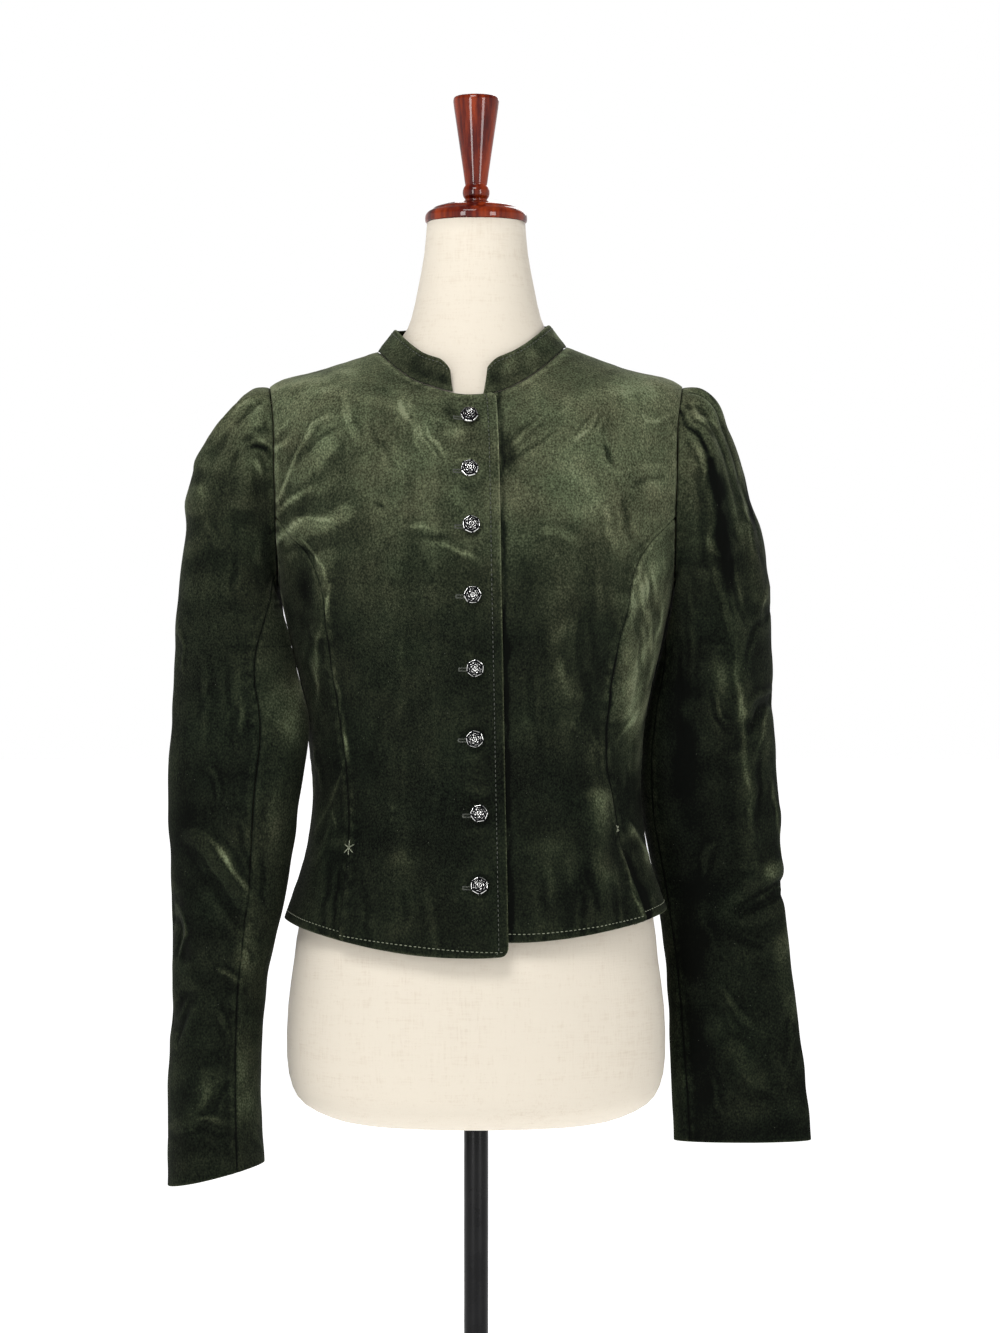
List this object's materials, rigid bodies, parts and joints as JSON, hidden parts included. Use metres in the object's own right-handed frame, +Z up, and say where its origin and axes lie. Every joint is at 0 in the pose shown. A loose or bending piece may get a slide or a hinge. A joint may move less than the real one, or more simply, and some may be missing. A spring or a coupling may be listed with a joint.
{
  "type": "cropped velvet jacket on a dress form",
  "caption": "Cropped velvet jacket with a stand collar, puffed sleeve heads and a buttoned front, on a limbless linen dress form with a pole and a round base.",
  "frame": {"origin": "centre of the base plate's underside, on the floor", "axes": "+Z up, -Y the garment's front, +X the wearer's left"},
  "size_m": [0.5651, 0.33, 1.6],
  "materials": {
    "velvet": "dark green cotton velvet, brushed lighter at the chest",
    "linen": "cream linen weave",
    "polished_wood": "glossy red-brown",
    "black_metal": "satin black",
    "antique_silver": "antiqued silver"
  },
  "bodies": {
    "root": {"front_right": "velvet", "front_left": "velvet", "side_front_right": "velvet", "side_front_left": "velvet", "back": "velvet", "collar": "velvet", "top_sleeve_right": "velvet", "under_sleeve_right": "velvet", "top_sleeve_left": "velvet", "under_sleeve_left": "velvet", "button_1": "antique_silver", "button_2": "antique_silver", "button_3": "antique_silver", "button_4": "antique_silver", "button_5": "antique_silver", "button_6": "antique_silver", "button_7": "antique_silver", "button_8": "antique_silver", "dress_form": "linen", "neck_cap": "polished_wood", "finial": "polished_wood", "pole": "black_metal", "base": "black_metal"}
  },
  "joints": []
}
